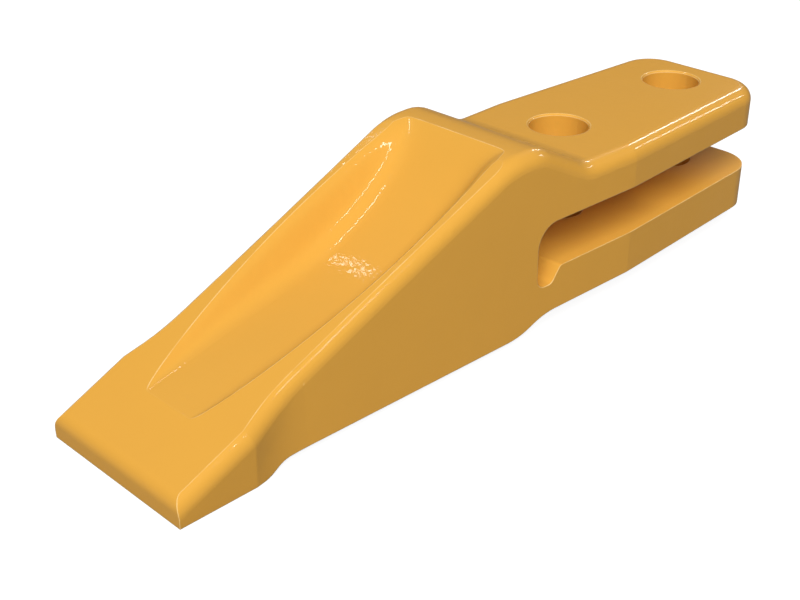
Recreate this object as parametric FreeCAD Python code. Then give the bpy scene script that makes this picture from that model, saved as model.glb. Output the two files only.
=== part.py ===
import FreeCAD, Part
import math
import os

from FreeCAD import Vector

# Bolt-on bucket tooth tip, cast in one piece. Millimetres.
# X runs from the cutting edge to the rear, Y to the left, Z up. The sizes count X from the front face
# and Z from the blade's flat underside. The finished casting is moved to the centre of its bolted seat.

# Plan outline, with widths from the middle plane
blade_half_width = 30.2
blade_length = 26.4
blade_corner_round = 3.0
waist_end_x = 46.5
waist_half_width = 28.7
shoulder_x = 191.8
shoulder_half_width = 32.1
overall_length = 278.5
rear_half_width = 27.4
rear_corner_round = 14.4

# Slope of the sides. Going up, the blade's flare outward a little, and the wedge's lean inward above the
# waist, less and less toward the shoulder. Each is how far the side has moved at the crest's height.
blade_flare = 2.4
waist_lean = 2.8

# Side profile, above
rise_start_z = 7.8
rise_angle = 23.53
nose_round = 5.0
crest_z = 65.8
crest_front_radius = 34.0
crest_rear_radius = 17.0
ramp_angle = 27.0
ramp_foot_x = 168.6
ramp_foot_radius = 15.0
strap_top_z = 54.26

# Side profile, below: a step up behind the blade and another under the straps
belly_step_x = 31.5
belly_step_angle = 28.0
belly_step_round = 11.0
belly_z = 3.0
strap_step_x = 136.2
strap_step_angle = 21.0
strap_step_round = 30.0
strap_bottom_z = 7.5

# Rounded upper edges. The wedge's flat top trims the round a little before it would run out.
edge_round = 5.2
top_trim = 0.5

# Slot for the bucket's lip, with a relief hollow below its front wall
slot_top_z = 39.8
slot_bottom_z = 22.94
slot_front_x = 143.8
slot_corner_round = 8.5
relief_depth = 5.4
relief_corner_round = 4.0
relief_heel_x = 151.0
relief_heel_round = 3.0
relief_lip_x = 155.2
relief_lip_round = 2.0

# Bolt holes through both straps
hole_diameter = 21.0
hole_setback = 22.1
hole_spacing = 67.0
hole_rim_bevel = 0.6

# Channel in the wedge's top: its floor runs straight, then up a hollow arc and over the crest
channel_start_x = 19.6
channel_floor_half_width = 9.7
channel_floor_angle = 13.2
channel_dip_x = 76.7
channel_dip_radius = 111.0
channel_lip_x = 134.6
channel_lip_radius = 5.0
channel_lip_angle = 10.0

# Channel walls: S-shaped in section, spreading from the front and closing in a little at the crest
channel_half_width = 23.4
channel_widest_x = 99.0
channel_flare = 0.7
channel_rear_radius = 365.0
channel_brow_angle = 20.0
channel_foot_share = 0.72
channel_brow_share = 0.5
channel_brow_limit = 0.8
channel_overcut = 0.6
channel_sections = 26
channel_crowding = 1.5


def degrees_sin(angle):
    return math.sin(math.radians(angle))


def degrees_cos(angle):
    return math.cos(math.radians(angle))


def degrees_tan(angle):
    return math.tan(math.radians(angle))


def corner_arc(before, corner, after, radius):
    """Start, middle and end of the arc that rounds a corner between two straight runs."""
    back = (before - corner).normalize()
    ahead = (after - corner).normalize()
    half_angle = back.getAngle(ahead) / 2
    setback = radius / math.tan(half_angle)
    bisector = (back + ahead).normalize()
    middle = corner + bisector * (radius / math.sin(half_angle) - radius)
    return corner + back * setback, middle, corner + ahead * setback


def rounded_wire(outline):
    """Closed wire through pairs of corner and radius, with an arc where the radius isn't zero."""
    count = len(outline)
    runs = []
    arcs = []
    for index in range(count):
        corner, radius = outline[index]
        if radius == 0:
            runs.append((corner, corner))
            continue
        before = outline[index - 1][0]
        after = outline[(index + 1) % count][0]
        start, middle, end = corner_arc(before, corner, after, radius)
        arcs.append(Part.Arc(start, middle, end).toShape())
        runs.append((start, end))
    lines = []
    for index in range(count):
        end = runs[index][1]
        next_start = runs[(index + 1) % count][0]
        lines.append(Part.LineSegment(end, next_start).toShape())
    return Part.Wire(Part.__sortEdges__(lines + arcs))


def through_width(wire):
    """Solid with this side view, much wider than the casting."""
    width = 4 * shoulder_half_width
    solid = Part.Face(wire).extrude(Vector(0, width, 0))
    solid.translate(Vector(0, -width / 2, 0))
    return solid


def rise_z(x):
    """Height of the wedge's flat top."""
    return rise_start_z + degrees_tan(rise_angle) * x


def crest_front_corner(lift):
    """Where the wedge's top, raised by lift, would meet the level crest."""
    start = rise_z(0) + lift / degrees_cos(rise_angle)
    return Vector((crest_z - start) / degrees_tan(rise_angle), 0, crest_z)


def crest_rear_corner():
    """Where the level crest would meet the ramp behind it."""
    return Vector(ramp_foot_x - (crest_z - strap_top_z) / degrees_tan(ramp_angle), 0, crest_z)


def side_wire():
    """Side view of the casting without its slot, the wedge's top raised by the trim."""
    step_end_x = belly_step_x + belly_z / degrees_tan(belly_step_angle)
    strap_step_end_x = strap_step_x + (strap_bottom_z - belly_z) / degrees_tan(strap_step_angle)
    outline = [
        (Vector(0, 0, 0), 0),
        (Vector(0, 0, rise_z(0) + top_trim / degrees_cos(rise_angle)), 0),
        (crest_front_corner(top_trim), crest_front_radius),
        (crest_rear_corner(), crest_rear_radius),
        (Vector(ramp_foot_x, 0, strap_top_z), ramp_foot_radius),
        (Vector(overall_length, 0, strap_top_z), 0),
        (Vector(overall_length, 0, strap_bottom_z), 0),
        (Vector(strap_step_end_x, 0, strap_bottom_z), strap_step_round),
        (Vector(strap_step_x, 0, belly_z), strap_step_round),
        (Vector(step_end_x, 0, belly_z), belly_step_round),
        (Vector(belly_step_x, 0, 0), belly_step_round),
    ]
    return rounded_wire(outline)


def waist_arc(corner, waist_end):
    """Hollow waist: from the blade's rear corner, tangent to the wedge's side."""
    along = (Vector(shoulder_x, shoulder_half_width, 0) - waist_end).normalize()
    chord = corner - waist_end
    turn = 2 * math.atan2(chord.y * along.x - chord.x * along.y, -chord.dot(along))
    sagitta = chord.Length / 2 * math.tan(turn / 4)
    middle = (corner + waist_end) * 0.5 + Vector(-chord.y, chord.x, 0).normalize() * sagitta
    return Part.Arc(corner, middle, waist_end).toShape()


def plan_wire(flare, lean):
    """Plan view, its blade spread by flare and its waist drawn in by lean: one side and its mirror."""
    front = Vector(0, blade_half_width + flare, 0)
    blade_rear = Vector(blade_length, blade_half_width + flare, 0)
    waist_end = Vector(waist_end_x, waist_half_width - lean, 0)
    shoulder = Vector(shoulder_x, shoulder_half_width, 0)
    rear_corner = Vector(overall_length, rear_half_width, 0)
    rear_middle = Vector(overall_length, 0, 0)
    start, middle, end = corner_arc(shoulder, rear_corner, rear_middle, rear_corner_round)
    side = [
        Part.LineSegment(Vector(0, 0, 0), front).toShape(),
        Part.LineSegment(front, blade_rear).toShape(),
        waist_arc(blade_rear, waist_end),
        Part.LineSegment(waist_end, shoulder).toShape(),
        Part.LineSegment(shoulder, start).toShape(),
        Part.Arc(start, middle, end).toShape(),
        Part.LineSegment(end, rear_middle).toShape(),
    ]
    other_side = Part.Compound(side).mirror(Vector(0, 0, 0), Vector(0, 1, 0)).Edges
    return Part.Wire(Part.__sortEdges__(side + other_side))


def edges_where(shape, test):
    """Edges that pass the test, which gets the edge's box and its middle point."""
    found = []
    for edge in shape.Edges:
        middle = edge.valueAt((edge.FirstParameter + edge.LastParameter) / 2)
        if test(edge.BoundBox, middle):
            found.append(edge)
    return found


def base_casting():
    """Side view and plan view carried through each other, with soft corners behind the blade."""
    upper_plan = plan_wire(2 * blade_flare, 2 * waist_lean)
    upper_plan.translate(Vector(0, 0, 2 * crest_z))
    upright = Part.makeLoft([plan_wire(0, 0), upper_plan], True, True)
    body = through_width(side_wire()).common(upright).removeSplitter()

    def behind_blade(box, middle):
        near_x = abs(middle.x - blade_length) < 0.1
        near_y = abs(middle.y) > blade_half_width - 0.1
        return near_x and near_y and box.ZLength > belly_z

    return body.makeFillet(blade_corner_round, edges_where(body, behind_blade))


def round_top_edges(body):
    """Large round along the upper edges of both sides and the rear, in one run."""
    def on_top_rim(box, middle):
        is_upright = box.XLength < 0.01 and box.YLength < 0.01
        at_side = abs(middle.y) > rear_half_width - rear_corner_round
        at_rear = middle.x > overall_length - rear_corner_round
        at_front = box.XMax < 0.01
        is_low = box.ZMin < rise_start_z
        return (at_side or at_rear) and not (is_upright or at_front or is_low)

    return body.makeFillet(edge_round, edges_where(body, on_top_rim))


def trim_top(body):
    """Cut the flat top of the wedge down to its true height."""
    reach = 2 * overall_length
    along = Vector(degrees_cos(rise_angle), 0, degrees_sin(rise_angle)) * reach
    up = Vector(-along.z, 0, along.x)
    start = Vector(0, 0, rise_start_z) - along * 0.5
    corners = [start, start + along, start + along + up, start + up, start]
    return body.cut(through_width(Part.makePolygon(corners)))


def nose_cutter():
    """What the soft round between the front face and the wedge's top takes away, from side to side."""
    top_corner = Vector(0, 0, rise_start_z)
    below = Vector(0, 0, 0)
    along = Vector(degrees_cos(rise_angle), 0, degrees_sin(rise_angle))
    start, middle, end = corner_arc(below, top_corner, top_corner + along * rise_start_z, nose_round)
    outside = end + Vector(-along.z, 0, along.x) * nose_round
    front = start - Vector(nose_round, 0, 0)
    edges = [Part.Arc(start, middle, end).toShape()]
    for first, second in ((end, outside), (outside, front), (front, start)):
        edges.append(Part.LineSegment(first, second).toShape())
    return through_width(Part.Wire(Part.__sortEdges__(edges)))


def slot_cutter():
    """Lip slot, open to the rear and to both sides."""
    rear_x = overall_length + slot_corner_round
    relief_z = slot_bottom_z - relief_depth
    outline = [
        (Vector(rear_x, 0, slot_top_z), 0),
        (Vector(slot_front_x, 0, slot_top_z), slot_corner_round),
        (Vector(slot_front_x, 0, relief_z), relief_corner_round),
        (Vector(relief_heel_x, 0, relief_z), relief_heel_round),
        (Vector(relief_lip_x, 0, slot_bottom_z), relief_lip_round),
        (Vector(rear_x, 0, slot_bottom_z), 0),
    ]
    return through_width(rounded_wire(outline))


def hole_places():
    """Where the bolt holes are along the casting, the rear one set back from its end."""
    rear = overall_length - hole_setback
    return rear - hole_spacing, rear


def hole_cutters():
    """The two bolt holes, through both straps."""
    return [
        Part.makeCylinder(hole_diameter / 2, 2 * strap_top_z, Vector(x, 0, -strap_top_z / 2))
        for x in hole_places()
    ]


def dip_centre():
    """Centre of the hollow arc that ends the channel's straight floor."""
    run = channel_dip_x - channel_start_x
    dip_z = rise_z(channel_start_x) + degrees_tan(channel_floor_angle) * run
    x = channel_dip_x - channel_dip_radius * degrees_sin(channel_floor_angle)
    return Vector(x, 0, dip_z + channel_dip_radius * degrees_cos(channel_floor_angle))


def floor_z(x):
    """Height of the channel's floor."""
    if x <= channel_dip_x:
        return rise_z(channel_start_x) + degrees_tan(channel_floor_angle) * (x - channel_start_x)
    dip = dip_centre()
    if x <= channel_lip_x:
        return dip.z - math.sqrt(channel_dip_radius ** 2 - (x - dip.x) ** 2)
    steepness = math.asin((channel_lip_x - dip.x) / channel_dip_radius)
    lip_z = dip.z - channel_dip_radius * math.cos(steepness)
    centre_x = channel_lip_x + channel_lip_radius * math.sin(steepness)
    centre_z = lip_z - channel_lip_radius * math.cos(steepness)
    end_x = centre_x - channel_lip_radius * degrees_sin(channel_lip_angle)
    if x <= end_x:
        return centre_z + math.sqrt(channel_lip_radius ** 2 - (x - centre_x) ** 2)
    end_z = centre_z + channel_lip_radius * degrees_cos(channel_lip_angle)
    return end_z + degrees_tan(channel_lip_angle) * (x - end_x)


def top_z(x):
    """Height of the wedge's top and of the level crest behind it."""
    centre_x = crest_front_corner(0).x + crest_front_radius * degrees_tan(rise_angle / 2)
    if x >= centre_x:
        return crest_z
    if x <= centre_x - crest_front_radius * degrees_sin(rise_angle):
        return rise_z(x)
    return crest_z - crest_front_radius + math.sqrt(crest_front_radius ** 2 - (x - centre_x) ** 2)


def channel_edge_y(x):
    """Half-width between the upper edges of the channel's walls."""
    if x >= channel_widest_x:
        return channel_half_width - (x - channel_widest_x) ** 2 / (2 * channel_rear_radius)
    share = max(0.0, (x - channel_start_x) / (channel_widest_x - channel_start_x))
    spread = channel_half_width - channel_floor_half_width
    return channel_floor_half_width + spread * math.sin(share * math.pi / 2) ** channel_flare


def channel_section(x):
    """Closed section across the channel cutter: flat floor, S-shaped walls, upright above the casting."""
    low_z = floor_z(x)
    brow_z = max(top_z(x), low_z) + channel_overcut
    brow_y = channel_edge_y(x) + channel_overcut / degrees_tan(channel_brow_angle)
    roof_z = brow_z + strap_top_z / 2
    width = brow_y - channel_floor_half_width
    foot_y = channel_floor_half_width + channel_foot_share * width
    highest_bow = channel_brow_limit * (brow_z - low_z) / degrees_sin(channel_brow_angle)
    bow = min(channel_brow_share * width, highest_bow)
    bow_y = brow_y - bow * degrees_cos(channel_brow_angle)
    bow_z = brow_z - bow * degrees_sin(channel_brow_angle)
    edges = []
    for side in (-1, 1):
        wall = Part.BezierCurve()
        wall.setPoles([
            Vector(x, side * channel_floor_half_width, low_z),
            Vector(x, side * foot_y, low_z),
            Vector(x, side * bow_y, bow_z),
            Vector(x, side * brow_y, brow_z),
        ])
        upright = Part.LineSegment(Vector(x, side * brow_y, brow_z), Vector(x, side * brow_y, roof_z))
        edges += [wall.toShape(), upright.toShape()]
    for half_width, z in ((channel_floor_half_width, low_z), (brow_y, roof_z)):
        edges.append(Part.LineSegment(Vector(x, -half_width, z), Vector(x, half_width, z)).toShape())
    return Part.Wire(Part.__sortEdges__(edges))


def channel_cutter():
    """Sculpted channel as one loft, its sections closer together near the front."""
    front_x = channel_start_x - channel_overcut
    rear_x = channel_lip_x + 2 * channel_lip_radius
    sections = []
    for index in range(channel_sections):
        share = index / (channel_sections - 1)
        sections.append(channel_section(front_x + (rear_x - front_x) * share ** channel_crowding))
    return Part.makeLoft(sections, True, False)


def bevel_hole_rims(body):
    """Small bevel on the bolt holes' outer rims, above the upper strap and below the lower one."""
    def on_rim(box, middle):
        is_round = abs(box.XLength - hole_diameter) < 0.01 and abs(box.YLength - hole_diameter) < 0.01
        is_outer = min(abs(middle.z - strap_top_z), abs(middle.z - strap_bottom_z)) < 0.01
        return is_round and is_outer

    return body.makeChamfer(hole_rim_bevel, edges_where(body, on_rim))


def tooth_tip():
    """The whole casting."""
    body = trim_top(round_top_edges(base_casting()))
    return bevel_hole_rims(body.cut([nose_cutter(), slot_cutter(), channel_cutter()] + hole_cutters()))


def seat_centre():
    """Point midway between the bolt holes, on the lower strap's upper face."""
    return Vector(sum(hole_places()) / 2, 0, slot_bottom_z)


def main():
    os.makedirs("parts", exist_ok=True)
    casting = tooth_tip()
    casting.translate(seat_centre() * -1)
    print("solids", len(casting.Solids), "valid", casting.isValid(), "volume", round(casting.Volume))
    casting.exportStep("parts/tooth_tip.step")


main()
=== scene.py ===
import math
import bpy
from mathutils import Matrix, Vector


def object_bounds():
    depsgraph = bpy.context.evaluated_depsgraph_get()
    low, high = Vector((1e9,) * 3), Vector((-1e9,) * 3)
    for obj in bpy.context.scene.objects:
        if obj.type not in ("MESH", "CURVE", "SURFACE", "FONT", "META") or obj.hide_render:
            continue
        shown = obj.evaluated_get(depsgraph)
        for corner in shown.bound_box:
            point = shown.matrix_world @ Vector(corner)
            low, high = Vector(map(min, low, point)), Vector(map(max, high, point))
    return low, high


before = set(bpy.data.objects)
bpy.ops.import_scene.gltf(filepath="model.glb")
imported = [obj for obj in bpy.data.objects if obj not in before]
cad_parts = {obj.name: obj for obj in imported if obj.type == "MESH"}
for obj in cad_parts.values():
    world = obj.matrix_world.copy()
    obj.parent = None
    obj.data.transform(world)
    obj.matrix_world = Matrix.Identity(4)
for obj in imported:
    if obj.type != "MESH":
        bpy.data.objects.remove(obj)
cadBounds = [list(corner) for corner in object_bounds()]
low, high = Vector(cadBounds[0]), Vector(cadBounds[1])
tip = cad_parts["tooth_tip"]
print("frame loaded", [round(v, 4) for v in low], [round(v, 4) for v in high])


def setSocket(node, name, value):
    node.inputs[name].default_value = value


def newMaterial(name):
    material = bpy.data.materials.new(name)
    material.use_nodes = True
    nodes, links = material.node_tree.nodes, material.node_tree.links
    nodes.clear()
    return material, nodes, links


# Gloss paint over a cast surface. Lengths are metres. A noise is its features per metre, detail and
# roughness. A band turns the range of its first two numbers into the range of the other two.
paint = {
    "colour": (0.80, 0.405, 0.060),       # machine yellow
    "toneNoise": (22, 4, 0.55),           # slow patches, darker and rougher
    "toneBand": (0.3, 0.7, 0, 0.10),
    "roughBand": (0.35, 0.65, 0.30, 0.42),
    "dustAndShadeColour": (0.60, 0.29, 0.045),    # dust tone in the patches, painted shade in the inner corners
    # painted shade: how far the darkening of inner corners reaches, and its band
    "paintedShadeReach": 0.004,
    "paintedShadeBand": (0.3, 0.9, 0.2, 0),
    "edgeHighlightColour": (0.93, 0.64, 0.26),     # painted highlight along the edges, in place of the gloss catching them
    "edgeHighlightNoise": (140, 2, 0.5),
    "edgeHighlightBand": (0.35, 0.6, 0.4, 1),
    "edgeRound": 0.0004,
    "edgeTurn": (0.9985, 0.985),          # cosines of the turns at which an edge begins and is full
    "specular": 0.1,
    "coat": 0.5,
    "coatRoughness": 0.055,
    "castNoise": (75, 3, 0.5),            # low waves of the cast surface, under the paint
    "castHeight": 0.00009,
    "peelNoise": (560, 1, 0.5),           # orange peel, in the clear coat alone
    "peelHeight": 0.00005,
    "samples": 8,
}


def addNoise(nodes, links, place, kind):
    scale, detail, roughness = kind
    noise = nodes.new("ShaderNodeTexNoise")
    setSocket(noise, "Scale", scale)
    setSocket(noise, "Detail", detail)
    setSocket(noise, "Roughness", roughness)
    links.new(place, noise.inputs["Vector"])
    return noise.outputs["Fac"]


def addRange(nodes, links, value, band):
    change = nodes.new("ShaderNodeMapRange")
    for name, number in zip(("From Min", "From Max", "To Min", "To Max"), band):
        setSocket(change, name, number)
    links.new(value, change.inputs["Value"])
    return change


def addMix(nodes, links, share, first, second):
    mix = nodes.new("ShaderNodeMix")
    mix.data_type = "RGBA"
    for index, colour in ((6, first), (7, second)):
        if isinstance(colour, tuple):
            mix.inputs[index].default_value = (*colour, 1)
        else:
            links.new(colour, mix.inputs[index])
    links.new(share, mix.inputs[0])
    return mix.outputs[2]


def addBump(nodes, links, height, distance, normal):
    bump = nodes.new("ShaderNodeBump")
    setSocket(bump, "Strength", 1.0)
    setSocket(bump, "Distance", distance)
    links.new(height, bump.inputs["Height"])
    links.new(normal, bump.inputs["Normal"])
    return bump.outputs["Normal"]


def addEdgeHighlightShare(nodes, links, place, softNormal):
    # How far the softened normal turns away from the true one marks the edges, which get a painted
    # highlight
    surface = nodes.new("ShaderNodeNewGeometry")
    turn = nodes.new("ShaderNodeVectorMath")
    turn.operation = "DOT_PRODUCT"
    links.new(softNormal, turn.inputs[0])
    links.new(surface.outputs["Normal"], turn.inputs[1])
    highlightStrength = addRange(nodes, links, addNoise(nodes, links, place, paint["edgeHighlightNoise"]), paint["edgeHighlightBand"])
    edge = addRange(nodes, links, turn.outputs["Value"], paint["edgeTurn"])
    links.new(highlightStrength.outputs["Result"], edge.inputs["To Max"])
    return edge.outputs["Result"]


# Painted shade: darkens inner corners, creases and recesses that ambient occlusion finds
def addPaintedCornerShade(nodes, links):
    corner = nodes.new("ShaderNodeAmbientOcclusion")
    corner.samples = paint["samples"]
    setSocket(corner, "Distance", paint["paintedShadeReach"])
    return addRange(nodes, links, corner.outputs["AO"], paint["paintedShadeBand"]).outputs["Result"]


def paintMaterial():
    material, nodes, links = newMaterial("yellow_paint")
    output = nodes.new("ShaderNodeOutputMaterial")
    shader = nodes.new("ShaderNodeBsdfPrincipled")
    place = nodes.new("ShaderNodeTexCoord").outputs["Object"]
    soft = nodes.new("ShaderNodeBevel")
    soft.samples = paint["samples"]
    setSocket(soft, "Radius", paint["edgeRound"])

    # Colour: random darker patches, then painted shade in the inner corners, then a painted highlight
    # along the edges
    tone = addNoise(nodes, links, place, paint["toneNoise"])
    toneShare = addRange(nodes, links, tone, paint["toneBand"]).outputs["Result"]
    colour = addMix(nodes, links, toneShare, paint["colour"], paint["dustAndShadeColour"])
    colour = addMix(nodes, links, addPaintedCornerShade(nodes, links), colour, paint["dustAndShadeColour"])
    # Painted highlight along the edges
    edgeHighlightShare = addEdgeHighlightShare(nodes, links, place, soft.outputs["Normal"])
    colour = addMix(nodes, links, edgeHighlightShare, colour, paint["edgeHighlightColour"])
    links.new(colour, shader.inputs["Base Color"])

    # Gloss
    rough = addRange(nodes, links, tone, paint["roughBand"]).outputs["Result"]
    links.new(rough, shader.inputs["Roughness"])
    setSocket(shader, "Specular IOR Level", paint["specular"])
    setSocket(shader, "Coat Weight", paint["coat"])
    setSocket(shader, "Coat Roughness", paint["coatRoughness"])

    # Relief
    cast = addNoise(nodes, links, place, paint["castNoise"])
    peel = addNoise(nodes, links, place, paint["peelNoise"])
    normal = addBump(nodes, links, cast, paint["castHeight"], soft.outputs["Normal"])
    links.new(normal, shader.inputs["Normal"])
    links.new(addBump(nodes, links, peel, paint["peelHeight"], normal), shader.inputs["Coat Normal"])
    links.new(shader.outputs["BSDF"], output.inputs["Surface"])
    return material


finish = paintMaterial()
for slot in tip.material_slots:
    slot.material = finish
print("paint on the casting")

# The floor looks white with a faint soft shadow, and is greyer as a reflector
floorLook = {
    "halfSize": 3.0,
    "gap": 0.0002,        # under the casting, so that no two faces share a plane
    "white": 0.9,
    "shadowed": 0.24,
    "reflector": 0.2,
}


def addDiffuse(nodes, level):
    shader = nodes.new("ShaderNodeBsdfDiffuse")
    setSocket(shader, "Color", (level, level, level, 1))
    return shader.outputs["BSDF"]


def addShaderMix(nodes, links, share, first, second):
    mix = nodes.new("ShaderNodeMixShader")
    links.new(share, mix.inputs["Fac"])
    links.new(first, mix.inputs[1])
    links.new(second, mix.inputs[2])
    return mix.outputs["Shader"]


def floorMaterial():
    material, nodes, links = newMaterial("floor_white")
    output = nodes.new("ShaderNodeOutputMaterial")
    white = nodes.new("ShaderNodeEmission")
    setSocket(white, "Color", (1, 1, 1, 1))
    setSocket(white, "Strength", floorLook["white"])
    seen = nodes.new("ShaderNodeAddShader")
    links.new(white.outputs["Emission"], seen.inputs[0])
    links.new(addDiffuse(nodes, floorLook["shadowed"]), seen.inputs[1])
    path = nodes.new("ShaderNodeLightPath")
    reflector = addDiffuse(nodes, floorLook["reflector"])
    both = addShaderMix(nodes, links, path.outputs["Is Camera Ray"], reflector, seen.outputs["Shader"])
    links.new(both, output.inputs["Surface"])
    return material


def addFloor():
    size, level = floorLook["halfSize"], low.z - floorLook["gap"]
    corners = [(-size, -size, level), (size, -size, level), (size, size, level), (-size, size, level)]
    mesh = bpy.data.meshes.new("floor")
    mesh.from_pydata(corners, [], [(0, 1, 2, 3)])
    floor = bpy.data.objects.new("floor", mesh)
    bpy.context.collection.objects.link(floor)
    mesh.materials.append(floorMaterial())


# Lamps: place, long direction, length and width in metres, watts, and the rays that see them.
# The strips are seen by the gloss alone, so they draw thin lines along the edges.
light = {
    "world": 0.07,
    "key": ((-2.57, -2.30, 3.69), (1, 0, 0), 4.0, 4.0, 342.0, "diffuse"),
    "fill": ((0.60, 1.00, 0.65), (1, 0, 0), 1.0, 1.0, 2.8, "diffuse"),
    "backFill": ((0.45, 1.30, 0.10), (1, 0, 0), 1.2, 0.8, 5.5, "diffuse"),
    "floorGlint": ((0.43, 2.63, 2.97), (1, 0, 0), 0.12, 0.12, 0.65, "gloss"),
    "topStrip": ((-0.28, 0.42, 1.08), (1, 0, 0), 0.36, 0.04, 1.1, "gloss"),
    "sideStrip": ((-0.23, -0.72, 0.96), (1, 0, 0), 0.26, 0.04, 0.9, "gloss"),
    "rearStrip": ((1.00, 0.32, 0.62), (0, 0, 1), 0.35, 0.05, 1.6, "gloss"),
    "crestStrip": ((0.89, -0.30, 0.54), (0, 0, 1), 0.20, 0.04, 0.5, "gloss"),
}


def addWorld():
    world = bpy.data.worlds.new("studio")
    bpy.context.scene.world = world
    world.use_nodes = True
    nodes, links = world.node_tree.nodes, world.node_tree.links
    nodes.clear()
    output = nodes.new("ShaderNodeOutputWorld")
    seen = nodes.new("ShaderNodeBackground")
    setSocket(seen, "Color", (1, 1, 1, 1))
    lit = nodes.new("ShaderNodeBackground")
    setSocket(lit, "Color", (1, 1, 1, 1))
    setSocket(lit, "Strength", light["world"])
    path = nodes.new("ShaderNodeLightPath")
    toCamera = path.outputs["Is Camera Ray"]
    both = addShaderMix(nodes, links, toCamera, lit.outputs["Background"], seen.outputs["Background"])
    links.new(both, output.inputs["Surface"])


def addLamp(name):
    place, along, length, width, power, seenBy = light[name]
    lamp = bpy.data.lights.new(name, "AREA")
    lamp.shape = "RECTANGLE"
    lamp.size = length
    lamp.size_y = width
    lamp.energy = power
    obj = bpy.data.objects.new(name, lamp)
    away = (Vector(place) - (low + high) / 2).normalized()
    across = away.cross(Vector(along)).normalized()
    turned = Matrix((across.cross(away), across, away)).transposed().to_4x4()
    obj.matrix_world = Matrix.Translation(Vector(place)) @ turned
    obj.visible_glossy = seenBy == "gloss"
    obj.visible_diffuse = seenBy == "diffuse"
    bpy.context.collection.objects.link(obj)


# Camera of the photo, solved from the casting's symmetry. Metres and degrees, lens and sensor in mm.
camera = {
    "place": (-0.37434, -0.26549, 0.19553),
    "heading": 44.736,    # clockwise from +Y
    "downward": 28.6175,
    "lens": 58.82,
    "sensor": 36,
    "nearest": 0.01,
}


def addCamera():
    heading, downward = math.radians(camera["heading"]), math.radians(camera["downward"])
    level = math.cos(downward)
    forward = Vector((math.sin(heading) * level, math.cos(heading) * level, -math.sin(downward)))
    right = Vector((math.cos(heading), -math.sin(heading), 0))
    turned = Matrix((right, right.cross(forward), -forward)).transposed().to_4x4()
    data = bpy.data.cameras.new("camera")
    data.lens = camera["lens"]
    data.sensor_width = camera["sensor"]
    data.clip_start = camera["nearest"]
    obj = bpy.data.objects.new("camera", data)
    obj.matrix_world = Matrix.Translation(Vector(camera["place"])) @ turned
    bpy.context.collection.objects.link(obj)
    bpy.context.scene.camera = obj


addFloor()
addWorld()
for name in light:
    if name != "world":
        addLamp(name)
addCamera()
bpy.context.scene.view_settings.view_transform = "Standard"
print("studio ready")
